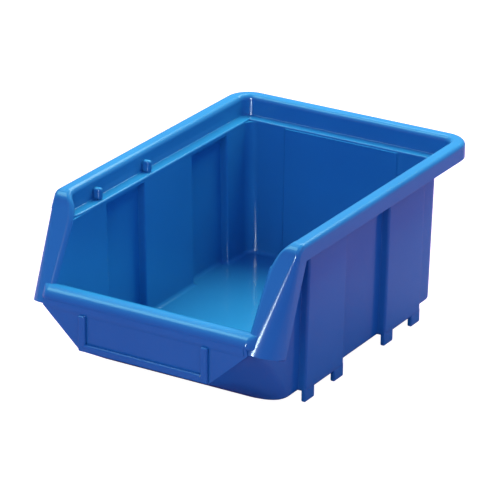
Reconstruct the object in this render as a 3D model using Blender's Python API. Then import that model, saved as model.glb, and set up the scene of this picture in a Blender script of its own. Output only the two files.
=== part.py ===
"""Stackable hopper-front storage bin, one moulding drawn as its named zones. Metres, +Z up, front at -Y."""
import math

import bmesh
import bpy
from mathutils import Vector

for old in list(bpy.data.objects):
    bpy.data.objects.remove(old, do_unlink=True)

MM = 0.001

# ---- driving dimensions, millimetres ----
WIDTH = 150.0
LENGTH = 219.4
HEIGHT = 98.5
SHEET = 2.0                  # moulded wall thickness
GAP = 0.3                    # clearance between neighbouring zones
HALF_W = WIDTH / 2
BACK_Y = LENGTH / 2
FRONT_Y = -LENGTH / 2
PANEL_Y = FRONT_Y + 2.0      # outer face of the label panel
RIM_CORNER_R = 14.2
RIM_SKIRT = 9.7
LEDGE_Z = 87.2               # top of the inner stacking ledge
BAND_X = 66.0                # inner face of the rim band
OVERHANG = 13.4              # rim edge to outer wall face
DRAFT = 0.018                # wall lean per unit height
FLOOR_Z = 5.4                # underside of the floor
WALL_TOP = LEDGE_Z - SHEET - GAP
BASE_FRONT_Y = -71.5
SLOPE_TOP_Y = -77.8
SLOPE_RUN = 0.3864           # forward travel of the side edge per unit drop
SLOPE_END_Z = 57.0
PILASTER_PROUD = 4.3
PILASTERS = ((-52.7, -12.3), (31.8, 72.2))
FOOT_LENGTH = 10.0
BACK_CORNER_R = 8.0
BACK_RECESS_X = 36.0
BACK_RECESS = 1.0
PANEL_LOW = (39.2, 25.9)     # half width and height of the label panel's lower edge
PANEL_HIGH = (62.3, 47.0)
PANEL_TOP_Z = 49.4
LIP_TOP_Z = 56.5
RAIL_X = 35.0
RAIL_TOP_Z = 46.5
RAIL_LOW_Z = 30.9
TAB_Y = (-54.6, -6.8)
TAB_SIZE = (4.5, 3.6, 6.4)

GLOSS_BLUE = (0.018, 0.165, 0.560, 1.0)


def blue(name):
    mat = bpy.data.materials.new(name + "_mat")
    mat.use_nodes = True
    shader = mat.node_tree.nodes["Principled BSDF"]
    shader.inputs["Base Color"].default_value = GLOSS_BLUE
    shader.inputs["Roughness"].default_value = 0.28
    shader.inputs["IOR"].default_value = 1.49
    return mat


def finish(name, verts, faces, smooth=False):
    """Make one closed named body, facing outwards, from millimetre points."""
    bm = bmesh.new()
    points = [bm.verts.new(Vector(v) * MM) for v in verts]
    for face in faces:
        bm.faces.new([points[i] for i in face])
    bmesh.ops.recalc_face_normals(bm, faces=bm.faces)
    mesh = bpy.data.meshes.new(name)
    bm.to_mesh(mesh)
    bm.free()
    obj = bpy.data.objects.new(name, mesh)
    bpy.context.scene.collection.objects.link(obj)
    obj.data.materials.append(blue(name))
    if smooth:
        mesh.shade_smooth()
        mesh.set_sharp_from_angle(angle=math.radians(35))
    return obj


def loft(name, rings, smooth=False):
    """Close a stack of equal rings into one body."""
    count = len(rings[0])
    verts = [p for ring in rings for p in ring]
    faces = []
    for k in range(len(rings) - 1):
        for i in range(count):
            j = (i + 1) % count
            low = k * count
            high = low + count
            faces.append((low + i, low + j, high + j, high + i))
    faces.append(tuple(range(count)))
    faces.append(tuple(range(len(verts) - count, len(verts))))
    return finish(name, verts, faces, smooth)


def sheet(name, rows, inner_rows, smooth=False):
    """Close two matching grids of points, outer and inner, into one curved sheet."""
    count = len(rows[0])
    rings = []
    for outer, inner in zip(rows, inner_rows):
        rings.append(list(outer) + list(reversed(inner)))
    verts = [p for ring in rings for p in ring]
    ring_size = 2 * count
    faces = []
    for k in range(len(rings) - 1):
        for i in range(ring_size):
            j = (i + 1) % ring_size
            low = k * ring_size
            high = low + ring_size
            faces.append((low + i, low + j, high + j, high + i))
    for base in (0, (len(rings) - 1) * ring_size):
        for i in range(count - 1):
            far = ring_size - 1 - i
            faces.append((base + i, base + i + 1, base + far - 1, base + far))
    return finish(name, verts, faces, smooth)


def box(name, low, high):
    (ax, ay, az), (bx, by, bz) = low, high
    ring = [(ax, ay), (bx, ay), (bx, by), (ax, by)]
    return loft(name, [[(x, y, az) for x, y in ring], [(x, y, bz) for x, y in ring]])


def wall_x(z):
    """Outer face of a side wall at height z."""
    return HALF_W - OVERHANG - DRAFT * (LEDGE_Z - z)


def wall_y(z):
    """Outer face of the back wall at height z."""
    return BACK_Y - OVERHANG - DRAFT * (LEDGE_Z - z)


def slope_y(z):
    """Free edge of the side wall at height z."""
    return SLOPE_TOP_Y - (HEIGHT - z) * SLOPE_RUN


def side_panel(name, side, outline):
    """Flat drafted side wall piece from a (y, z) outline."""
    outer = [(side * wall_x(z), y, z) for y, z in outline]
    inner = [(side * (wall_x(z) - SHEET), y, z) for y, z in outline]
    return loft(name, [outer, inner])


def plan_prism(name, plan_at, low, high, steps=1, smooth=False):
    rings = []
    for k in range(steps + 1):
        z = low + (high - low) * k / steps
        rings.append([(x, y, z) for x, y in plan_at(z)])
    return loft(name, rings, smooth)


# ---- floor and underside ----
def floor_panel():
    inset = wall_x(FLOOR_Z) - SHEET - GAP
    bump = inset + PILASTER_PROUD
    back = wall_y(FLOOR_Z) - SHEET - GAP
    half = [(46.6, BASE_FRONT_Y + 1.5), (51.0, -69.3), (55.2, -66.8), (57.0, -63.8), (inset, -61.0)]
    for front, rear in PILASTERS:
        a = front + SHEET + GAP
        b = rear - SHEET - GAP
        half += [(inset, a), (bump, a), (bump, b), (inset, b)]
    half += [(inset, back - 6.5), (inset - 1.9, back - 1.9), (inset - 6.5, back)]
    half += [(BACK_RECESS_X + GAP, back), (BACK_RECESS_X + GAP, back - BACK_RECESS)]
    outline = half + [(-x, y) for x, y in reversed(half)]
    plan_prism("floor_panel", lambda z: outline, FLOOR_Z, FLOOR_Z + SHEET)


def front_underside():
    """Ramp from the base edge up to the lower edge of the label panel."""
    low_x, low_z = PANEL_LOW
    start = (47.6, 46.6, BASE_FRONT_Y, FLOOR_Z)
    end = (low_x - 0.6, low_x - 2.2, PANEL_Y + GAP, low_z)
    rings = []
    for outer_x, inner_x, y, z in (start, end):
        ring = [(-outer_x, y, z), (outer_x, y, z)]
        ring += [(inner_x, y + 0.98, z + 1.74), (-inner_x, y + 0.98, z + 1.74)]
        rings.append(ring)
    loft("front_underside", rings)


def label_panel():
    low_x, low_z = PANEL_LOW
    high_x, high_z = PANEL_HIGH
    rings = []
    for y, inset in ((PANEL_Y, 1.0), (PANEL_Y + SHEET, 5.6)):
        right = [(low_x + 3.4 - inset, low_z + 3.1), (high_x - inset - 1.6, high_z - 0.3)]
        right += [(high_x - inset - 1.2, PANEL_TOP_Z)]
        outline = right + [(-x, z) for x, z in reversed(right)]
        rings.append([(x, y, z) for x, z in outline])
    loft("label_panel", rings)


# ---- walls ----
def side_walls():
    top = WALL_TOP
    shallow = (SHEET + 0.6) / 0.9328
    deep = 4.8 / 0.9328
    for side, hand in ((-1, "left"), (1, "right")):
        p1, p2 = PILASTERS
        front = [(p1[0] - GAP, FLOOR_Z), (-60.8, FLOOR_Z), (-72.8, 25.0), (-91.6, 43.0)]
        front += [(slope_y(46.0) + shallow, 46.0), (slope_y(53.4) + shallow, 53.4)]
        front += [(slope_y(54.4) + deep, 54.4), (slope_y(top) + deep, top), (p1[0] - GAP, top)]
        side_panel("side_wall_front_" + hand, side, front)
        a, b = p1[1] + GAP, p2[0] - GAP
        middle = [(a, FLOOR_Z), (b, FLOOR_Z), (b, top), (a, top)]
        side_panel("side_wall_middle_" + hand, side, middle)
        a, b = p2[1] + GAP, -BACK_CORNER_R - GAP
        rear = [(a, FLOOR_Z), (wall_y(FLOOR_Z) + b, FLOOR_Z), (wall_y(top) + b, top), (a, top)]
        side_panel("side_wall_rear_" + hand, side, rear)


def pilasters():
    for side, hand in ((-1, "left"), (1, "right")):
        for place, (a, b) in zip(("front", "rear"), PILASTERS):

            def plan(z, a=a, b=b):
                out = wall_x(z) + PILASTER_PROUD
                inn = wall_x(z) - SHEET
                r = 1.2
                half = [(inn, a), (out - r, a), (out - 0.35, a + 0.35), (out, a + r), (out, b - r)]
                half += [(out - 0.35, b - 0.35), (out - r, b), (inn, b), (inn, b - SHEET)]
                half += [(out - SHEET, b - SHEET), (out - SHEET, a + SHEET), (inn, a + SHEET)]
                return [(side * x, y) for x, y in half]

            plan_prism("pilaster_" + place + "_" + hand, plan, FLOOR_Z, WALL_TOP)


def feet():
    """Eight locating feet, one below each edge of each pilaster."""
    top = FLOOR_Z - GAP
    for side, hand in ((-1, "left"), (1, "right")):
        spots = []
        for a, b in PILASTERS:
            spots += [(a, a + FOOT_LENGTH), (b - FOOT_LENGTH, b)]
        for index, (a, b) in enumerate(spots):
            out = wall_x(FLOOR_Z) + PILASTER_PROUD - 0.1
            inn = out - SHEET - 0.6
            low = [(inn, a), (out, a), (out, b), (inn, b)]
            rings = [[(side * x, y, z) for x, y in low] for z in (0.0, top)]
            loft("foot_" + hand + "_" + str(index + 1), rings)


def back_walls():
    half_flat = wall_x(WALL_TOP) - BACK_CORNER_R - 0.6
    zones = (("left", -half_flat, -BACK_RECESS_X, 0.0), ("middle", -BACK_RECESS_X, BACK_RECESS_X, BACK_RECESS),
             ("right", BACK_RECESS_X, half_flat, 0.0))
    for zone, a, b, set_in in zones:
        rings = []
        for z in (FLOOR_Z, WALL_TOP):
            y = wall_y(z) - set_in
            left = max(a + GAP / 2, -(wall_x(z) - BACK_CORNER_R - 0.6))
            right = min(b - GAP / 2, wall_x(z) - BACK_CORNER_R - 0.6)
            rings.append([(left, y, z), (right, y, z), (right, y - SHEET, z), (left, y - SHEET, z)])
        loft("back_wall_" + zone, rings)


def back_corners():
    steps = 8
    for side, hand in ((-1, "left"), (1, "right")):
        rows = []
        inner_rows = []
        for z in (FLOOR_Z, WALL_TOP):
            cx = wall_x(z) - BACK_CORNER_R
            cy = wall_y(z) - BACK_CORNER_R
            row = []
            inner = []
            for k in range(steps + 1):
                turn = math.radians(90.0 * k / steps)
                c, s = math.cos(turn), math.sin(turn)
                row.append((side * (cx + BACK_CORNER_R * c), cy + BACK_CORNER_R * s, z))
                tight = BACK_CORNER_R - SHEET
                inner.append((side * (cx + tight * c), cy + tight * s, z))
            rows.append(row)
            inner_rows.append(inner)
        sheet("back_corner_" + hand, rows, inner_rows, True)


def corner_controls(z):
    """Control points of the front corner's plan curve at height z, right hand side."""
    low_x, low_z = PANEL_LOW
    high_x, high_z = PANEL_HIGH
    if z <= low_z:
        k = (z - FLOOR_Z) / (low_z - FLOOR_Z)
        start = -61.6 + k * (-74.6 + 61.6)
        mid = BASE_FRONT_Y + k * (-91.0 - BASE_FRONT_Y)
        tip_x = 48.4 + k * (low_x + 0.4 - 48.4)
        tip_y = BASE_FRONT_Y + k * (PANEL_Y - BASE_FRONT_Y)
    else:
        k = (z - low_z) / (high_z - low_z)
        start = -74.6 + k * (-97.6 + 74.6)
        mid = -91.0 + k * (-103.0 + 91.0)
        tip_x = low_x + 0.4 + k * (high_x - low_x)
        tip_y = PANEL_Y
    x = wall_x(z)
    return (x, start), (x, mid), (tip_x, tip_y)


def front_corners():
    """Big conical corners between the side walls and the label panel."""
    steps = 10
    heights = [FLOOR_Z, 9.0, 14.0, 20.0, 25.9, 31.0, 36.0, 40.0, 43.6]
    for side, hand in ((-1, "left"), (1, "right")):
        rows = []
        for z in heights:
            (ax, ay), (bx, by), (cx, cy) = corner_controls(z)
            row = []
            for k in range(steps + 1):
                t = k / steps
                p, q, r = (1 - t) ** 2, 2 * t * (1 - t), t * t
                row.append(Vector((p * ax + q * bx + r * cx, p * ay + q * by + r * cy, z)))
            rows.append(row)
        inner_rows = []
        for i, row in enumerate(rows):
            inner = []
            for k, point in enumerate(row):
                along = row[min(k + 1, steps)] - row[max(k - 1, 0)]
                up = rows[min(i + 1, len(rows) - 1)][k] - rows[max(i - 1, 0)][k]
                normal = along.cross(up).normalized()
                if normal.x < 0 and abs(normal.x) > abs(normal.y):
                    normal = -normal
                if normal.y > 0 and abs(normal.y) >= abs(normal.x):
                    normal = -normal
                inner.append(point - normal * SHEET)
            inner_rows.append(inner)
        outer = [[(side * p.x, p.y, p.z) for p in row] for row in rows]
        back = [[(side * p.x, p.y, p.z) for p in row] for row in inner_rows]
        sheet("front_corner_" + hand, outer, back, True)


# ---- rim ----
RIM_PROFILE = ((0.0, -RIM_SKIRT), (0.0, -2.6), (-0.75, -0.8), (-2.6, 0.0), (-5.6, 0.0), (-7.4, -0.7),
               (-8.3, -2.4), (-9.0, -11.0), (-7.0, -11.0), (-6.4, -3.0), (-5.4, -2.1), (-2.7, -2.0),
               (-2.0, -2.8), (-2.0, -RIM_SKIRT))
SLOPE_PROFILE = ((0.0, -8.0), (0.0, -2.6), (-0.75, -0.8), (-2.6, 0.0), (-11.0, 0.0), (-13.6, -0.5),
                 (-15.0, -1.8), (-15.4, -4.4), (-13.4, -4.4), (-12.9, -2.9), (-11.6, -2.1), (-2.7, -2.0),
                 (-2.0, -2.8), (-2.0, -8.0))
LIP_PROFILE = ((0.0, -6.8), (0.0, -5.2), (0.8, -2.4), (3.4, -0.3), (6.6, 0.0), (10.4, -1.2),
               (12.7, -3.4), (13.2, -4.4), (11.6, -5.4), (10.6, -3.8), (9.4, -2.9), (6.5, -2.1),
               (4.2, -2.4), (2.0, -5.2), (2.0, -6.8))


SLOPE_LENGTH = math.hypot(1.0, SLOPE_RUN)
SLOPE_NORMAL = (0, -1.0 / SLOPE_LENGTH, SLOPE_RUN / SLOPE_LENGTH)
MITRE_SCALE = 1.0 + SLOPE_NORMAL[2]
RIM_MITRE = (0, SLOPE_NORMAL[1] / MITRE_SCALE, 1.0)


def sweep(name, stations, profile):
    """Carry a section through (origin, outward, upward) stations."""
    rings = []
    for origin, out, up in stations:
        ring = []
        for u, v in profile:
            ring.append(tuple(Vector(origin) + Vector(out) * u + Vector(up) * v))
        rings.append(ring)
    return loft(name, rings, True)


def rim_sides():
    for side, hand in ((-1, "left"), (1, "right")):
        out = (side, 0, 0)
        stations = [((side * HALF_W, SLOPE_TOP_Y + 0.25, HEIGHT), out, RIM_MITRE)]
        stations.append(((side * HALF_W, BACK_Y - RIM_CORNER_R - GAP, HEIGHT), out, (0, 0, 1)))
        sweep("rim_side_" + hand, stations, RIM_PROFILE)


def rim_back():
    reach = HALF_W - RIM_CORNER_R - GAP
    stations = [((x, BACK_Y, HEIGHT), (0, 1, 0), (0, 0, 1)) for x in (-reach, reach)]
    sweep("rim_back", stations, RIM_PROFILE)


def rim_corners():
    steps = 10
    for side, hand in ((-1, "left"), (1, "right")):
        stations = []
        cx = side * (HALF_W - RIM_CORNER_R)
        cy = BACK_Y - RIM_CORNER_R
        for k in range(steps + 1):
            turn = math.radians(90.0 * k / steps)
            out = (side * math.cos(turn), math.sin(turn), 0)
            origin = (cx + RIM_CORNER_R * out[0], cy + RIM_CORNER_R * out[1], HEIGHT)
            stations.append((origin, out, (0, 0, 1)))
        sweep("rim_corner_" + hand, stations, RIM_PROFILE)


def slope_flanges():
    for side, hand in ((-1, "left"), (1, "right")):
        stations = []
        for z, up in ((HEIGHT - 0.3, RIM_MITRE), (SLOPE_END_Z, SLOPE_NORMAL)):
            stations.append(((side * HALF_W, slope_y(z), z), (side, 0, 0), up))
        sweep("slope_flange_" + hand, stations, SLOPE_PROFILE)


def lip_corners():
    """Lower ends of the sloping flanges, where they turn into the front lip."""
    for side, hand in ((-1, "left"), (1, "right")):
        stations = []
        for z in (SLOPE_END_Z - 0.6, 53.0, 48.5, 44.0):
            stations.append(((side * HALF_W, slope_y(z), z), (side, 0, 0), SLOPE_NORMAL))
        profile = [(0.0, -8.0), (0.0, -2.6), (-0.75, -0.8), (-2.6, 0.0), (-8.0, 1.2), (-11.4, 1.6),
                   (-11.4, -0.6), (-8.0, -0.9), (-2.7, -2.0), (-2.0, -2.8), (-2.0, -8.0)]
        sweep("lip_corner_" + hand, stations, profile)


def front_lip():
    reach = HALF_W - 11.4 - GAP
    stations = [((x, PANEL_Y, LIP_TOP_Z), (0, 1, 0), (0, 0, 1)) for x in (-reach, reach)]
    sweep("front_lip", stations, LIP_PROFILE)


def ledges():
    low = LEDGE_Z - SHEET
    outer = BAND_X - GAP
    for side, hand in ((-1, "left"), (1, "right")):
        inner = wall_x(LEDGE_Z) - SHEET
        xs = sorted((side * inner, side * outer))
        box("ledge_" + hand, (xs[0], SLOPE_TOP_Y + 0.6, low), (xs[1], 84.0, LEDGE_Z))
    back_in = wall_y(LEDGE_Z) - SHEET
    back_out = BACK_Y - (HALF_W - BAND_X) - GAP
    half = [(outer, 84.0 + GAP), (outer, back_out - 5.0), (outer - 1.5, back_out - 1.5), (outer - 5.0, back_out)]
    inner = wall_x(LEDGE_Z) - SHEET
    inside = [(inner, 84.0 + GAP), (inner, back_in - 6.0), (inner - 1.8, back_in - 1.8), (inner - 6.0, back_in)]
    outline = half + [(-x, y) for x, y in reversed(half)] + [(-x, y) for x, y in inside] + inside[::-1]
    plan_prism("ledge_back", lambda z: outline, low, LEDGE_Z)


def stacking_tabs():
    """Small blocks on the ledge that locate the bin stacked above."""
    depth, length, height = TAB_SIZE
    outer = BAND_X - GAP - 0.1
    for side, hand in ((-1, "left"), (1, "right")):
        for place, y in zip(("front", "rear"), TAB_Y):
            xs = sorted((side * (outer - depth), side * outer))
            low = (xs[0], y, LEDGE_Z + GAP)
            box("stacking_tab_" + place + "_" + hand, low, (xs[1], y + length, LEDGE_Z + height))


# ---- label holder ----
def label_rails():
    face = PANEL_Y - GAP
    for side, hand in ((-1, "left"), (1, "right")):
        xs = sorted((side * RAIL_X, side * (RAIL_X + 4.6)))
        box("label_rail_" + hand, (xs[0], FRONT_Y, RAIL_LOW_Z), (xs[1], face, RAIL_TOP_Z))
    reach = RAIL_X + 3.0
    box("label_rail_bottom", (-reach, FRONT_Y, RAIL_LOW_Z - GAP - 2.2), (reach, face, RAIL_LOW_Z - GAP))


floor_panel()
front_underside()
label_panel()
side_walls()
pilasters()
feet()
back_walls()
back_corners()
front_corners()
rim_sides()
rim_back()
rim_corners()
slope_flanges()
lip_corners()
front_lip()
ledges()
stacking_tabs()
label_rails()
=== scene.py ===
"""Looks for the stackable storage bin: one seamless moulded shell, rim, lip, rails, feet and tabs.

Sizes are in millimetres in the CAD's own frame: x to the right, y to the back, z up, with the
hopper front at low y. Shapes are drawn for the right-hand side and mirrored to the left.
"""
import math

import bmesh
import bpy
from mathutils import Matrix, Vector


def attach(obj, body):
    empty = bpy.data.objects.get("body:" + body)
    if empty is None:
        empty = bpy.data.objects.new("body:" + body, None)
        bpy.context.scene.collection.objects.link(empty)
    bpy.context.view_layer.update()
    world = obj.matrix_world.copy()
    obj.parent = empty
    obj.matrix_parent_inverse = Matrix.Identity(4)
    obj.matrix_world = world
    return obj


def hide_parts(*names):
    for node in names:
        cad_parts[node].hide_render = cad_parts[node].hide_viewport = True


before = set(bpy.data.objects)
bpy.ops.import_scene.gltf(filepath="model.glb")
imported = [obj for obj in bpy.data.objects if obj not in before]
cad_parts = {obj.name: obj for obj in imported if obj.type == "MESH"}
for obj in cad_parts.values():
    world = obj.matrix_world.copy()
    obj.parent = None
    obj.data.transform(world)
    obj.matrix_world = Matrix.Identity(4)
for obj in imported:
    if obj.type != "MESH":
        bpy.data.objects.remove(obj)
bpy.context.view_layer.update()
MM = 0.001

# ---- sizes, as the CAD has them ----
HALF_W = 75.0                               # half the width, over the rim
BACK_Y = 109.7                              # outer face of the rim at the back
FRONT_Y = -109.7                            # front of the label rails
PANEL_Y = -107.7                            # front face of the label panel
HEIGHT = 98.5                               # top of the rim
LEDGE_Z = 87.2                              # top of the stacking ledge
LEDGE_LOW = 85.2                            # underside of the stacking ledge
BAND_X = 66.0                               # inner face of the band between rim and ledge
OVERHANG = 13.4                             # rim's outer face to the wall's, at the ledge
DRAFT = 0.018                               # lean of the walls per unit of height
SHEET = 2.0                                 # thickness of walls and floor
FLOOR_Z = 5.4                               # underside of the floor
BASE_FRONT_Y = -71.5                        # front end of the flat underside
SLOPE_TOP_Y = -77.8                         # where the slope's line meets the rim's height
SLOPE_RUN = 0.3864                          # forward run of the slope per unit of drop
PROUD = 4.3                                 # how far a pilaster stands out of its wall
PILASTERS = ((-52.7, -12.3), (31.8, 72.2))  # front and rear y of each
BACK_RECESS_X = 36.0                        # half-width of the shallow recess in the back
BACK_RECESS = 1.0
WALL_CORNER_R = 8.0
RIM_CORNER_R = 14.2
PANEL_LOW = (39.2, 25.9)                    # lower end of the panel's slanted edge: x, z
PANEL_HIGH = (62.3, 47.0)                   # upper end of the same edge
PANEL_TOP_Z = 50.6
LIP_TOP_Z = 56.5

# ---- front faces of the sloping flanges ----
SLOPE_LENGTH = math.hypot(1.0, SLOPE_RUN)
NORMAL_Y = -1.0 / SLOPE_LENGTH
NORMAL_Z = SLOPE_RUN / SLOPE_LENGTH
SWELL_TOP_Z = 93.0                          # height where the swelling of the face begins
SWELL_RATE = 0.18
SWELL_SHIFT = 2.5                           # a flange section leans, so its face lies lower


# ---- material ----
BLUE_TINT = (0.020, 0.205, 0.470)
DARKER = (0.9, 0.93, 0.95)                  # the colour drift's two ends, as factors of the tint
LIGHTER = (1.1, 1.05, 1.03)
ROUGHNESS = 0.17
SCUFFING = 0.04                             # how far the roughness wanders either way


def noise(tree, coords, scale, detail):
    """A noise pattern fixed to the object."""
    pattern = tree.nodes.new("ShaderNodeTexNoise")
    pattern.inputs["Scale"].default_value = scale
    pattern.inputs["Detail"].default_value = detail
    tree.links.new(coords.outputs["Object"], pattern.inputs["Vector"])
    return pattern.outputs["Fac"]


def plastic(name):
    """Glossy moulded polypropylene: faint colour drift, fine scuffing and a soft orange-peel."""
    mat = bpy.data.materials.new(name)
    mat.use_nodes = True
    tree = mat.node_tree
    nodes, links = tree.nodes, tree.links
    shader = nodes["Principled BSDF"]
    shader.inputs["IOR"].default_value = 1.49
    shader.inputs["Specular IOR Level"].default_value = 0.45
    coords = nodes.new("ShaderNodeTexCoord")

    colour = nodes.new("ShaderNodeValToRGB")
    for element, place, factors in zip(colour.color_ramp.elements, (0.3, 0.7), (DARKER, LIGHTER)):
        element.position = place
        element.color = [part * factor for part, factor in zip(BLUE_TINT, factors)] + [1.0]
    links.new(noise(tree, coords, 14.0, 3.0), colour.inputs["Fac"])
    links.new(colour.outputs["Color"], shader.inputs["Base Color"])

    gloss = nodes.new("ShaderNodeMapRange")
    gloss.inputs["To Min"].default_value = ROUGHNESS - SCUFFING
    gloss.inputs["To Max"].default_value = ROUGHNESS + SCUFFING
    links.new(noise(tree, coords, 90.0, 6.0), gloss.inputs["Value"])
    links.new(gloss.outputs["Result"], shader.inputs["Roughness"])

    bump = nodes.new("ShaderNodeBump")
    bump.inputs["Strength"].default_value = 0.05
    bump.inputs["Distance"].default_value = 0.0002
    links.new(noise(tree, coords, 420.0, 2.0), bump.inputs["Height"])
    links.new(bump.outputs["Normal"], shader.inputs["Normal"])
    return mat


BLUE = plastic("gloss_blue_polypropylene")


# ---- mesh helpers ----
SHARP_SHELL = 28.0                          # edges turning more than this stay crisp, in degrees
SHARP_SWEEP = 50.0
SHARP_BLOCK = 40.0
BEVEL_ABOVE = 30.0                          # blocks are rounded at edges turning more than this


def make(name, verts, faces, nodes, sharp, bevel=0.0):
    """One closed visual piece, riding on the root body and standing for the given CAD nodes."""
    bm = bmesh.new()
    points = [bm.verts.new(Vector(v) * MM) for v in verts]
    for face in faces:
        if len(set(face)) > 2:
            bm.faces.new([points[i] for i in face])
    bmesh.ops.remove_doubles(bm, verts=bm.verts, dist=1e-7)
    bmesh.ops.recalc_face_normals(bm, faces=bm.faces)
    mesh = bpy.data.meshes.new(name)
    bm.to_mesh(mesh)
    bm.free()
    obj = bpy.data.objects.new(name, mesh)
    bpy.context.scene.collection.objects.link(obj)
    mesh.materials.append(BLUE)
    mesh.shade_smooth()
    mesh.set_sharp_from_angle(angle=math.radians(sharp))
    if bevel:
        rounding = obj.modifiers.new("rounded_edges", "BEVEL")
        rounding.width = bevel * MM
        rounding.segments = 4
        rounding.limit_method = "ANGLE"
        rounding.angle_limit = math.radians(BEVEL_ABOVE)
    normals = obj.modifiers.new("weighted_normals", "WEIGHTED_NORMAL")
    normals.keep_sharp = True
    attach(obj, "root")
    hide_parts(*nodes)


def loft(name, rings, nodes, sharp=SHARP_SWEEP, bevel=0.0):
    """A closed skin through rings of equal length, capped at both ends."""
    count = len(rings[0])
    verts = [p for ring in rings for p in ring]
    faces = []
    for k in range(len(rings) - 1):
        for i in range(count):
            j = (i + 1) % count
            a = k * count
            b = a + count
            faces.append((a + i, a + j, b + j, b + i))
    faces.append(tuple(range(count)))
    faces.append(tuple(range(len(verts) - count, len(verts))))
    make(name, verts, faces, nodes, sharp, bevel)


def block(name, low, high, node, bevel):
    """A box between two corner points, with rounded edges."""
    (ax, ay, az), (bx, by, bz) = low, high
    ring = ((ax, ay), (bx, ay), (bx, by), (ax, by))
    loft(name, [[(x, y, z) for x, y in ring] for z in (az, bz)], [node], SHARP_BLOCK, bevel)


# ---- lines and curves ----
def blend(a, b, k):
    return a + (b - a) * k


def smoothstep(t):
    return t * t * (3.0 - 2.0 * t)


def arc(cx, cy, radius, start, end, steps):
    """Points on an arc, angles in degrees."""
    out = []
    for k in range(steps + 1):
        a = math.radians(blend(start, end, k / steps))
        out.append((cx + radius * math.cos(a), cy + radius * math.sin(a)))
    return out


def quarter(radius, steps):
    """(sideways, along) of points on a quarter turn that starts out along."""
    turns = [math.radians(90.0 * k / steps) for k in range(steps + 1)]
    return [(radius * (1 - math.cos(a)), radius * math.sin(a)) for a in turns]


def wall_x(z):
    """Outer face of the side walls."""
    return HALF_W - OVERHANG - DRAFT * (LEDGE_Z - z)


def wall_y(z):
    """Outer face of the back wall."""
    return BACK_Y - OVERHANG - DRAFT * (LEDGE_Z - z)


def slope_y(z):
    """The sloping free edge, without its swelling."""
    return SLOPE_TOP_Y - (HEIGHT - z) * SLOPE_RUN


def swell(z):
    """How far the flange's front face stands out of its edge's plane, growing towards the lip."""
    return max(0.0, SWELL_RATE * (SWELL_TOP_Z - z))


# ---- the tub's plan outline at a height ----
# A front corner is a curve from the panel's slanted edge, pulled towards a point in line with
# the side wall, to where that wall starts: x of the edge, y of the start, y of the pull.
CORNER_AT_FLOOR = (46.0, -60.0, BASE_FRONT_Y)
CORNER_AT_LOW = (PANEL_LOW[0], -74.6, -91.0)
CORNER_AT_HIGH = (PANEL_HIGH[0], -97.0, -102.5)
CORNER_END_X = 61.2                         # where the slanted edge heads for above its end
CORNER_END_Z = 52.0                         # height where the corner has closed up
CORNER_CLOSED = 2.0                         # length of the curve that is left from there on
CORNER_STEPS = 22
PANEL_STEPS = 24
WALL_STOP = 0.8                             # the walls' free edges stay this far behind the panel
WALL_SINK = 1.4                             # and this far behind the flange's front face
PILASTER_EDGE_R = 1.4                       # on the outside; on the inside no less than
PILASTER_EDGE_MIN_R = 0.35
PILASTER_ROOT_R = 0.25
PILASTER_LEAN = 0.12                        # lean of a pilaster's flank at half its depth
PILASTER_SHOULDER = 0.25                    # and where its rounded edge begins
PILASTER_FLAT = 5.0                         # its flat face starts this far in from its ends
STRAIGHT_END = 12.0                         # the side wall's last point, short of the back wall
# The edge of the recess in the back: across from it, and along from the back wall.
BACK_STEP = ((3.0, 0.0), (0.8, 0.0), (0.1, -0.3), (-0.4, 0.1 - BACK_RECESS),
             (-1.4, -BACK_RECESS), (-8.0, -BACK_RECESS))


def front_corner(z):
    """Right-hand points from the label panel's slanted edge round to the side wall."""
    low_z, high_z = PANEL_LOW[1], PANEL_HIGH[1]
    x = wall_x(z)
    tip_y = PANEL_Y
    if z <= low_z:
        k = (z - FLOOR_Z) / (low_z - FLOOR_Z)
        tip_x, start, pull = (blend(a, b, k) for a, b in zip(CORNER_AT_FLOOR, CORNER_AT_LOW))
        tip_y = blend(BASE_FRONT_Y, PANEL_Y, k)
    elif z <= high_z:
        k = (z - low_z) / (high_z - low_z)
        tip_x, start, pull = (blend(a, b, k) for a, b in zip(CORNER_AT_LOW, CORNER_AT_HIGH))
    else:
        k = min(1.0, (z - high_z) / (CORNER_END_Z - high_z))
        face = slope_y(z) - swell(z + SWELL_SHIFT) * SLOPE_LENGTH
        front = max(face, PANEL_Y + WALL_STOP) + WALL_SINK
        start = front + CORNER_CLOSED
        pull = blend(CORNER_AT_HIGH[2], front + CORNER_CLOSED / 2, k)
        if z <= PANEL_TOP_Z:
            tip_x = blend(PANEL_HIGH[0], CORNER_END_X, k)
        else:
            tip_x, tip_y = x, front
    points = []
    for i in range(CORNER_STEPS + 1):
        t = i / CORNER_STEPS
        p, q, r = (1 - t) ** 2, 2 * t * (1 - t), t * t
        points.append((p * tip_x + q * x + r * x, p * tip_y + q * pull + r * start))
    return points


def offset(points, inset):
    """Move an open plan line inwards along its own normal."""
    moved = []
    last = len(points) - 1
    for i, (x, y) in enumerate(points):
        ax, ay = points[max(i - 1, 0)]
        bx, by = points[min(i + 1, last)]
        dx, dy = bx - ax, by - ay
        size = math.hypot(dx, dy) or 1.0
        moved.append((x - inset * dy / size, y + inset * dx / size))
    return moved


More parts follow.
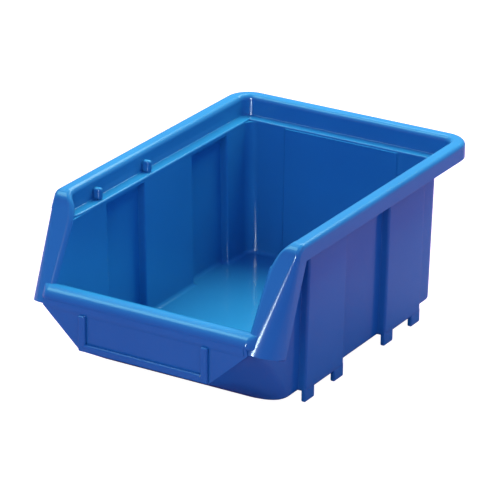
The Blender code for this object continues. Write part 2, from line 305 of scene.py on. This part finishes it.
def pilaster_points(x, front, rear, inset):
    """Plan points over one pilaster, front to rear: soft roots, leaning flanks, rounded edges."""
    edge_r = max(PILASTER_EDGE_R - 0.5 * inset, PILASTER_EDGE_MIN_R)
    root_r = PILASTER_ROOT_R + 0.35 * inset
    deep = PROUD - edge_r - root_r
    lean, shoulder = PILASTER_LEAN, PILASTER_SHOULDER
    root = quarter(root_r, 4)
    edge = quarter(edge_r, 6)
    points = [(x + side, front - root_r + along) for side, along in root]
    points.append((x + root_r + deep * 0.5, front + lean))
    points += [(x + root_r + deep + along, front + shoulder + side) for side, along in edge]
    points += [(x + PROUD, front + PILASTER_FLAT), (x + PROUD, rear - PILASTER_FLAT)]
    edge.reverse()
    root.reverse()
    points += [(x + root_r + deep + along, rear - shoulder - side) for side, along in edge]
    points.append((x + root_r + deep * 0.5, rear - lean))
    points += [(x + side, rear + root_r - along) for side, along in root]
    return points


def right_side(z, inset):
    """Right-hand plan points from the slanted edge to the middle of the back."""
    x = wall_x(z) - inset
    y = wall_y(z) - inset
    points = offset(front_corner(z), inset) if inset else front_corner(z)
    for front, rear in PILASTERS:
        points += pilaster_points(x, front + inset, rear - inset, inset)
    points.append((x, y - STRAIGHT_END))
    radius = WALL_CORNER_R - inset
    points += [(x - side, y - (radius - along)) for side, along in quarter(radius, 12)]
    points += [(BACK_RECESS_X + across, y + along) for across, along in BACK_STEP]
    points.append((0.0, y - BACK_RECESS))
    return points


def plan(z, inset):
    """Whole outline: the right side from the front to the back's middle, then the left side."""
    right = right_side(z, inset)
    left = [(-x, y) for x, y in reversed(right[:-1])]
    return right + left


# ---- the shell: walls, front corners, underside ramp, label panel and floor ----
BASE_EDGE_R = 2.2                           # rounding under the walls' feet
FLOOR_FILLET_R = 2.4                        # rounding inside, between floor and walls
EDGE_STEPS = 5
PANEL_ROWS = (9.5, 12, 15, 18, 21, 24, 25.9, 28, 32, 36, 40, 43, 45, 47.0, 48.5, PANEL_TOP_Z)
WALL_ROWS = (52.5, 56, 62, 70, 78, LEDGE_LOW + 0.8)


def strip(a, b):
    """Four-sided faces between two rows of vertices."""
    return [(a[i], a[i + 1], b[i + 1], b[i]) for i in range(len(a) - 1)]


def shell_rows():
    """(height, inset) of the rows up the outside and down the inside, and three row numbers."""
    floor_top = FLOOR_Z + SHEET
    rows = [(FLOOR_Z + up, BASE_EDGE_R - out) for up, out in quarter(BASE_EDGE_R, EDGE_STEPS)]
    rows += [(z, 0.0) for z in PANEL_ROWS]
    panel_out = len(rows) - 1
    rows += [(z, 0.0) for z in WALL_ROWS]
    rim_out = len(rows) - 1
    rows += [(z, SHEET) for z in reversed(WALL_ROWS)]
    panel_in = len(rows)
    rows += [(z, SHEET) for z in reversed(PANEL_ROWS) if z > floor_top + FLOOR_FILLET_R]
    for side, along in quarter(FLOOR_FILLET_R, EDGE_STEPS):
        rows.append((floor_top + (FLOOR_FILLET_R - along), SHEET + side))
    return rows, panel_out, rim_out, panel_in


def tub_shell():
    """One closed skin; above the label panel the outline is open at the front."""
    rows, panel_out, rim_out, panel_in = shell_rows()
    verts = []
    rings = []
    for z, inset in rows:
        line = plan(z, inset)
        ring = list(range(len(verts), len(verts) + len(line)))
        verts += [(x, y, z) for x, y in line]
        across = []
        if z <= PANEL_TOP_Z:
            (lx, ly), (rx, ry) = line[-1], line[0]
            across.append(ring[-1])
            for k in range(1, PANEL_STEPS):
                across.append(len(verts))
                part = k / PANEL_STEPS
                verts.append((blend(lx, rx, part), blend(ly, ry, part), z))
            across.append(ring[0])
        rings.append((ring, across))
    faces = []
    for (ring_a, across_a), (ring_b, across_b) in zip(rings, rings[1:]):
        faces += strip(ring_a, ring_b)
        if across_a and across_b:
            faces += strip(across_a, across_b)
    for ring, across in (rings[0], rings[-1]):
        faces.append(tuple(ring + across[1:-1]))
    # close the label panel's top edge and the walls' free front edges
    faces += strip(rings[panel_out][1], rings[panel_in][1])
    for k in range(rim_out - panel_out):
        low, high = rings[panel_out + k][0], rings[panel_out + k + 1][0]
        far_low, far_high = rings[panel_in - k][0], rings[panel_in - k - 1][0]
        for end in (0, -1):
            faces.append((low[end], high[end], far_high[end], far_low[end]))
    names = ["floor_panel", "front_underside", "label_panel",
             "back_wall_left", "back_wall_middle", "back_wall_right"]
    for hand in ("left", "right"):
        names += ["side_wall_front_" + hand, "side_wall_middle_" + hand, "side_wall_rear_" + hand]
        names += ["pilaster_front_" + hand, "pilaster_rear_" + hand]
        names += ["back_corner_" + hand, "front_corner_" + hand]
    make("tub_shell", verts, faces, names, SHARP_SHELL)


# ---- rim, band and ledge ----
BAND = HALF_W - BAND_X                      # rim's width on top, in to the band's inner face
DROP = HEIGHT - LEDGE_Z
LEDGE_IN = OVERHANG + SHEET                 # ledge's reach inwards, to the wall's inner face
SKIRT = 9.7                                 # how far the rim's outer skirt hangs down
SKIRT_EDGE = 0.4                            # bevel along the skirt's lower edge
ROLL_OUT = 2.6                              # roundings of the rim's top, outside and inside
ROLL_IN = 3.0
CREASE_R = 0.5                              # where the band meets the ledge
LEDGE_EDGE_R = 1.0
BEND_ANGLE = math.acos(NORMAL_Z)            # the rim bends down into the slope through this
BEND_R = 8.0
MITRE_SHIFT = -NORMAL_Y / (1.0 + NORMAL_Z)
BEND_Y = SLOPE_TOP_Y + BEND_R * MITRE_SHIFT
BEND_Z = HEIGHT - BEND_R
SPLIT_Y = BEND_Y + 1.5                      # rim and sloping flange change over here
RIM_CORNER_STEPS = 18
TUCK = 0.5                                  # the rim's hidden ends run this far inside the flange
TUCK_DEPTH = 0.6
LEDGE_NEAR_SPLIT = 15.2
# Stations along the sides: y, and how far the ledge reaches in there.
HIDDEN_ENDS = ((-81.6, 13.5), (-79.5, 14.0), (-77.0, 14.6), (-74.5, 15.0),
               (SPLIT_Y - 0.02, LEDGE_NEAR_SPLIT))
OPEN_SIDES = ((SPLIT_Y, LEDGE_NEAR_SPLIT), (-62.0, LEDGE_IN), (-40.0, LEDGE_IN),
              (0.0, LEDGE_IN), (50.0, LEDGE_IN))


def rim_profile(sunk, reach):
    """Section (outward, height): skirt, rolled top, band, stacking ledge, then underneath."""
    rolled = arc(-ROLL_OUT, -ROLL_OUT, ROLL_OUT, 0, 90, 8)
    rolled += arc(-BAND + ROLL_IN + 0.4, -ROLL_IN, ROLL_IN, 90, 174, 9)
    points = [(-sunk, -9.3)]
    points += [(min(u, -sunk) + (sunk if u < -5.0 else 0.0), min(v, -sunk)) for u, v in rolled]
    points += [(-8.62, -2.95)]
    points += arc(-BAND - CREASE_R, -DROP + CREASE_R, CREASE_R, 0, -90, 4)
    points += arc(-reach + LEDGE_EDGE_R, -DROP - LEDGE_EDGE_R, LEDGE_EDGE_R, 90, 180, 8)
    points += [(-reach, -DROP - 2.4), (-BAND + 2.0, -DROP - 2.0), (-BAND + 2.2, -3.6)]
    points += [(-5.6, -2.2), (-2.9, -2.1), (-SHEET, -3.0), (-SHEET, -9.5)]
    points += [(-1.7, -SKIRT), (-0.3 - sunk, -SKIRT)]
    return points


def under_surface(z, depth):
    """The y of a point at a height that lies a depth inside the bend and the slope."""
    if z > BEND_Z + BEND_R * NORMAL_Z:
        radius = BEND_R - depth
        return BEND_Y - math.sqrt(max(0.0, radius * radius - (z - BEND_Z) ** 2))
    return slope_y(z) - depth / NORMAL_Y


def rim_band():
    """Rim, band and ledge in one sweep from the left slope round the back to the right slope."""
    stations = []
    for sunk, places in ((TUCK, HIDDEN_ENDS), (0.0, OPEN_SIDES)):
        for y, reach in places:
            stations.append((Vector((HALF_W, y, HEIGHT)), Vector((1, 0, 0)), sunk, reach))
    centre = Vector((HALF_W - RIM_CORNER_R, BACK_Y - RIM_CORNER_R, HEIGHT))
    for k in range(RIM_CORNER_STEPS + 1):
        a = math.radians(90.0 * k / RIM_CORNER_STEPS)
        out = Vector((math.cos(a), math.sin(a), 0))
        stations.append((centre + out * RIM_CORNER_R, out, 0.0, LEDGE_IN))
    flip = Vector((-1, 1, 1))
    stations += [(at * flip, out * flip, sunk, reach) for at, out, sunk, reach in stations[::-1]]
    rings = []
    for origin, out, sunk, reach in stations:
        ring = []
        for u, v in rim_profile(sunk, reach):
            point = origin + out * u + Vector((0, 0, v))
            if sunk:
                point.y = max(point.y, under_surface(point.z, TUCK_DEPTH))
            ring.append(tuple(point))
        rings.append(ring)
    names = ["rim_back", "ledge_back"]
    for hand in ("left", "right"):
        names += ["rim_side_" + hand, "rim_corner_" + hand, "ledge_" + hand]
    loft("rim_band", rings, names)


# ---- sloping flanges ----
FACE_STOP = 0.2                             # flange faces stay this far behind the panel's face
RING_STOP = 0.3
EDGE_GROWTH = 1.34                          # growth of the outer rounding with the swelling
INNER_MIN_R = 1.2                           # smallest rounding on the flange's inner side
FLANGE_TOP_Z = 91.6
FLANGE_END_Z = 44.8
FLANGE_ROWS = (FLANGE_TOP_Z, 90.0, 88.4, 86.6, 84.0, 80.0, 76.0, 72.0, 64.0, 56.0, 50.0, 46.0,
               FLANGE_END_Z)
FLANGE_TIP = ((0.35, 0.12), (0.65, 0.4), (0.85, 0.8))    # rounding of the lower end: drop, inset
SKIRT_TOP = 9.6
SKIRT_END = 8.3
WIDENING = 21.0                             # the flange reaches full width this far down
BEND_STEPS = 12


def bend_point(depth, turn):
    """(y, z) at a depth under the rounded bend between the rim and the slope."""
    if depth < BEND_R:
        radius = BEND_R - depth
        return BEND_Y - radius * math.sin(turn), BEND_Z + radius * math.cos(turn)
    return SLOPE_TOP_Y + depth * MITRE_SHIFT, HEIGHT - depth


def flange_profile(wide, skirt, out=0.0, end=0.0):
    """Flange section whose outer rounding grows as its front face swells out."""
    big = ROLL_OUT + EDGE_GROWTH * out
    small = min(ROLL_IN, max(INNER_MIN_R, wide + 0.2 - big))
    points = [(-SKIRT_EDGE - end, -skirt), (-end, -skirt + SKIRT_EDGE)]
    turn = arc(-big, out - big, big, 0, 90, 12)
    turn += arc(-wide + small + 0.02, out - small, small, 90, 176, 9)
    points += [(min(u, -end), min(v, out - end)) for u, v in turn]
    points += [(-wide + 1.0, out - small - 0.4), (-wide + 2.2, out - small)]
    points += [(-wide + 4.0, out - 2.1)]
    points += arc(-big, out - big, big - SHEET, 84, 6, 8)
    points += [(-SHEET, -skirt + SKIRT_EDGE), (SKIRT_EDGE - SHEET, -skirt)]
    return points


def flange_width(z):
    """Flange width, widening smoothly from the rim's band to the tub wall's inner face."""
    full = LEDGE_IN + DRAFT * (LEDGE_Z - z)
    k = min(1.0, max(0.0, (HEIGHT - z) / WIDENING))
    return blend(BAND, full, 1.0 - (1.0 - k) ** 3)


def flange_front(x, z):
    """The y of the flange's front face at a distance x from the middle, rounding included."""
    out = swell(z - SWELL_SHIFT)
    big = ROLL_OUT + EDGE_GROWTH * out
    into = min(big, max(0.0, x - (HALF_W - big)))
    rise = out - big + math.sqrt(big * big - into * into)
    return max(slope_y(z) - rise * SLOPE_LENGTH, PANEL_Y + FACE_STOP)


def flange_ring(side, z, skirt, end=0.0):
    """One leaning section of a flange on the slope."""
    ring = []
    for u, v in flange_profile(flange_width(z), skirt, swell(z), end):
        y = max(slope_y(z) + NORMAL_Y * v, PANEL_Y + RING_STOP)
        ring.append((side * (HALF_W + u), y, z + NORMAL_Z * v))
    return ring


def slope_flanges():
    """Rim ends bending down into the sloping free edges, wider below the stacking ledge."""
    for side, hand in ((-1, "left"), (1, "right")):
        start = flange_profile(BAND, SKIRT)
        rings = [[(side * (HALF_W + u), SPLIT_Y, HEIGHT + v) for u, v in start]]
        for k in range(BEND_STEPS + 1):
            turn = BEND_ANGLE * k / BEND_STEPS
            ring = []
            for u, v in flange_profile(flange_width(bend_point(0.0, turn)[1]), SKIRT):
                y, z = bend_point(-v, turn)
                ring.append((side * (HALF_W + u), y, z))
            rings.append(ring)
        for z in FLANGE_ROWS:
            k = (FLANGE_TOP_Z - z) / (FLANGE_TOP_Z - FLANGE_END_Z)
            rings.append(flange_ring(side, z, blend(SKIRT_TOP, SKIRT_END, k)))
        for drop, end in FLANGE_TIP:
            rings.append(flange_ring(side, FLANGE_END_Z - drop, SKIRT_END, end))
        nodes = ["slope_flange_" + hand, "lip_corner_" + hand]
        loft("slope_flange_trim_" + hand, rings, nodes)


# ---- front lip ----
LIP_HALF = 60.5                             # the lip is whole to here, then sinks into the flange
LIP_MIDWAY = 30.0
LIP_SINK_X = (61.1, 61.7, 62.3, 62.9, 63.5, 64.1, 64.7, 65.3, 66.0)
LIP_SINK = 0.5                              # sunk ends lie this far behind the flange's face
# (back from the panel's face, up from the lip's top): panel, rolled top, inner edge, underneath
LIP_PROFILE = ((0.3, -6.6), (0.0, -5.95), (0.05, -5.2), (0.25, -4.2), (0.9, -2.9), (1.9, -1.7),
               (3.3, -0.7), (5.0, -0.15), (6.8, 0.0), (8.6, -0.3), (10.4, -1.0), (11.9, -1.9),
               (12.9, -2.7), (13.3, -3.3), (13.2, -4.0), (12.6, -4.6), (11.2, -3.9), (9.0, -2.7),
               (6.8, -2.1), (4.6, -2.3), (2.9, -3.6), (2.0, -5.4), (2.0, -6.6))


def front_lip():
    """The rolled lip across the hopper front, easing back into the flanges at its ends."""
    half = [(0.0, 1.0), (LIP_MIDWAY, 1.0), (LIP_HALF, 1.0)]
    for x in LIP_SINK_X:
        half.append((x, 1.0 - smoothstep((x - LIP_HALF) / (LIP_SINK_X[-1] - LIP_HALF))))
    stations = [(-x, k) for x, k in reversed(half[1:])] + half
    rings = []
    for x, k in stations:
        ring = []
        for u, v in LIP_PROFILE:
            y = PANEL_Y + u
            z = LIP_TOP_Z + v
            face = flange_front(abs(x), z) + LIP_SINK
            ring.append((x, blend(face, y, k) if y < face else y, z))
        rings.append(ring)
    loft("front_lip_roll", rings, ["front_lip"])


# ---- feet, stacking tabs and label rails ----
FOOT_LENGTH = 10.0                          # a foot at each end of each pilaster
FOOT_DEPTH = 2.6
FOOT_RISE = 2.6                             # how far a foot runs up into its pilaster
FOOT_INSET = 0.1                            # feet stay this far inside the pilaster's faces
FOOT_BEVEL = 0.7
TAB_INNER_X = 61.35
TAB_FRONTS = (("front", -54.6), ("rear", -6.8))
TAB_LENGTH = 3.6
TAB_RISE = 6.4
TAB_BEVEL = 1.4
TAB_BITE = 0.4                              # how far a tab runs into the band beside it
TAB_SINK = 0.3                              # and into the ledge under it
RAIL_X = (35.0, 39.4)
RAIL_Z = (26.4, 46.5)
RAIL_BEVEL = 1.0
BOTTOM_RAIL_HALF = 36.0
BOTTOM_RAIL_TOP_Z = 30.8
RAIL_BITE = 0.5                             # how far a rail runs into the panel


def feet(side, hand):
    spots = []
    for front, rear in PILASTERS:
        spots += [(front, front + FOOT_LENGTH), (rear - FOOT_LENGTH, rear)]
    out = wall_x(FLOOR_Z) + PROUD - FOOT_INSET
    xs = sorted((side * (out - FOOT_DEPTH), side * out))
    for index, (front, rear) in enumerate(spots):
        name = "foot_" + hand + "_" + str(index + 1)
        block(name + "_pad", (xs[0], front + FOOT_INSET, 0.0),
              (xs[1], rear - FOOT_INSET, FLOOR_Z + FOOT_RISE), name, FOOT_BEVEL)


def tabs(side, hand):
    xs = sorted((side * TAB_INNER_X, side * (BAND_X + TAB_BITE)))
    for place, y in TAB_FRONTS:
        name = "stacking_tab_" + place + "_" + hand
        block(name + "_block", (xs[0], y, LEDGE_Z - TAB_SINK),
              (xs[1], y + TAB_LENGTH, LEDGE_Z + TAB_RISE), name, TAB_BEVEL)


def small_pieces():
    """Blocks with softened edges, on both sides, and the rail under the label."""
    for side, hand in ((-1, "left"), (1, "right")):
        feet(side, hand)
        tabs(side, hand)
        xs = sorted((side * RAIL_X[0], side * RAIL_X[1]))
        name = "label_rail_" + hand
        block(name + "_strip", (xs[0], FRONT_Y, RAIL_Z[0]), (xs[1], PANEL_Y + RAIL_BITE, RAIL_Z[1]),
              name, RAIL_BEVEL)
    half = BOTTOM_RAIL_HALF
    block("label_rail_bottom_strip", (-half, FRONT_Y, RAIL_Z[0]),
          (half, PANEL_Y + RAIL_BITE, BOTTOM_RAIL_TOP_Z), "label_rail_bottom", RAIL_BEVEL)


tub_shell()
rim_band()
slope_flanges()
front_lip()
small_pieces()


# ---- floor, light and camera ----
FLOOR_HALF = 6.0                            # metres
FLOOR_COLOUR = (0.26, 0.16, 0.34, 1)        # what the floor throws back onto the bin
FILL_COLOUR = (0.36, 0.38, 1.0, 1)          # what the surround throws onto the bin
FILL_STRENGTH = 0.66
WHITE = (1, 1, 1, 1)
# Name, place and target in metres, size in metres, watts, colour, and what it does not reach:
# the soft lights stay out of reflections, and the gleams are seen in reflections only.
LIGHTS = (
    ("key_top", (-0.30, 0.85, 1.50), (0, 0, 0.05), (2.2, 1.3), 86.0, (0.85, 1.0, 0.70), "glossy"),
    ("front_fill", (0.3, -2.0, 0.9), (0, 0, 0.05), (1.5, 1.5), 10.0, (1.0, 0.85, 0.95), "glossy"),
    ("back_gleam", (0.0, 1.25, 1.30), (0, 0, 0.09), (1.7, 0.36), 8.5, (0.75, 0.95, 0.85),
     "diffuse"),
    ("left_gleam", (-0.96, -0.35, 1.65), (0, -0.1, 0.05), (0.8, 0.8), 9.0, (0.5, 1.0, 0.8),
     "diffuse"),
    ("front_gleam", (0.06, -1.9, 0.66), (0, -0.09, 0.07), (0.24, 0.6), 46.0, (0.8, 1.0, 1.0),
     "diffuse"),
)
CAMERA_AZIMUTH = 31.089                     # degrees round to the right of straight in front
CAMERA_ELEVATION = 22.542
CAMERA_ROLL = 0.444
CAMERA_DISTANCE = 1768.7
CAMERA_AIM = (0.0, -2.8, 45.0)
CAMERA_SHIFT = (0.09, 8.66)                 # sideways and up from the line through the aim
SENSOR_MM = 36.0
LENS_MM = 237.3678


def split_by_ray(tree, unseen, seen, surface):
    """Give the camera one shader and every other ray another."""
    path = tree.nodes.new("ShaderNodeLightPath")
    mix = tree.nodes.new("ShaderNodeMixShader")
    tree.links.new(path.outputs["Is Camera Ray"], mix.inputs["Fac"])
    tree.links.new(unseen, mix.inputs[1])
    tree.links.new(seen, mix.inputs[2])
    tree.links.new(mix.outputs["Shader"], surface)


def stage_floor():
    """Plain floor that the camera sees evenly pale, with the bin's shadow hardly showing."""
    mesh = bpy.data.meshes.new("stage_floor")
    size = FLOOR_HALF
    corners = [(-size, -size, 0), (size, -size, 0), (size, size, 0), (-size, size, 0)]
    mesh.from_pydata(corners, [], [(0, 1, 2, 3)])
    obj = bpy.data.objects.new("stage_floor", mesh)
    bpy.context.scene.collection.objects.link(obj)
    mat = bpy.data.materials.new("pale_floor")
    mat.use_nodes = True
    tree = mat.node_tree
    nodes = tree.nodes
    nodes.remove(nodes["Principled BSDF"])
    card = nodes.new("ShaderNodeBsdfDiffuse")
    card.inputs["Color"].default_value = FLOOR_COLOUR
    glow = nodes.new("ShaderNodeEmission")
    glow.inputs["Color"].default_value = WHITE
    glow.inputs["Strength"].default_value = 1.0
    both = nodes.new("ShaderNodeAddShader")
    tree.links.new(card.outputs["BSDF"], both.inputs[0])
    tree.links.new(glow.outputs["Emission"], both.inputs[1])
    split_by_ray(tree, card.outputs["BSDF"], both.outputs["Shader"],
                 nodes["Material Output"].inputs["Surface"])
    mesh.materials.append(mat)


def area_light(name, place, target, size, power, colour, hidden):
    """A rectangular light aimed at a target, left out of glossy or of diffuse light."""
    data = bpy.data.lights.new(name, "AREA")
    data.shape = "RECTANGLE"
    data.size, data.size_y = size
    data.energy = power
    data.color = colour
    obj = bpy.data.objects.new(name, data)
    obj.location = place
    aim = Vector(target) - Vector(place)
    obj.rotation_euler = aim.to_track_quat("-Z", "Y").to_euler()
    obj.visible_glossy = hidden != "glossy"
    obj.visible_diffuse = hidden != "diffuse"
    bpy.context.scene.collection.objects.link(obj)


def world_light():
    """White surround for the camera, and a dimmer, bluer fill on the bin."""
    world = bpy.data.worlds.new("soft_world")
    bpy.context.scene.world = world
    world.use_nodes = True
    tree = world.node_tree
    fill = tree.nodes["Background"]
    fill.inputs["Color"].default_value = FILL_COLOUR
    fill.inputs["Strength"].default_value = FILL_STRENGTH
    pale = tree.nodes.new("ShaderNodeBackground")
    pale.inputs["Color"].default_value = WHITE
    split_by_ray(tree, fill.outputs["Background"], pale.outputs["Background"],
                 tree.nodes["World Output"].inputs["Surface"])
    bpy.context.scene.view_settings.view_transform = "Standard"


def camera():
    """Long lens from the front right and above, turned slightly about its own axis."""
    azimuth, elevation = math.radians(CAMERA_AZIMUTH), math.radians(CAMERA_ELEVATION)
    turn = math.radians(CAMERA_ROLL)
    c, s = math.cos(azimuth), math.sin(azimuth)
    ce, se = math.cos(elevation), math.sin(elevation)
    right = Vector((c, s, 0))
    forward = Vector((-s * ce, c * ce, -se))
    up = right.cross(forward)
    shift = right * CAMERA_SHIFT[0] + up * CAMERA_SHIFT[1]
    place = (Vector(CAMERA_AIM) - forward * CAMERA_DISTANCE + shift) * MM
    across = right * math.cos(turn) + up * math.sin(turn)
    over = up * math.cos(turn) - right * math.sin(turn)
    data = bpy.data.cameras.new("photo_camera")
    data.sensor_width = SENSOR_MM
    data.lens = LENS_MM
    data.clip_start = 0.05
    obj = bpy.data.objects.new("photo_camera", data)
    bpy.context.scene.collection.objects.link(obj)
    axes = Matrix((across, over, -forward)).transposed().to_4x4()
    obj.matrix_world = Matrix.Translation(place) @ axes
    bpy.context.scene.camera = obj


stage_floor()
world_light()
for light in LIGHTS:
    area_light(*light)
camera()
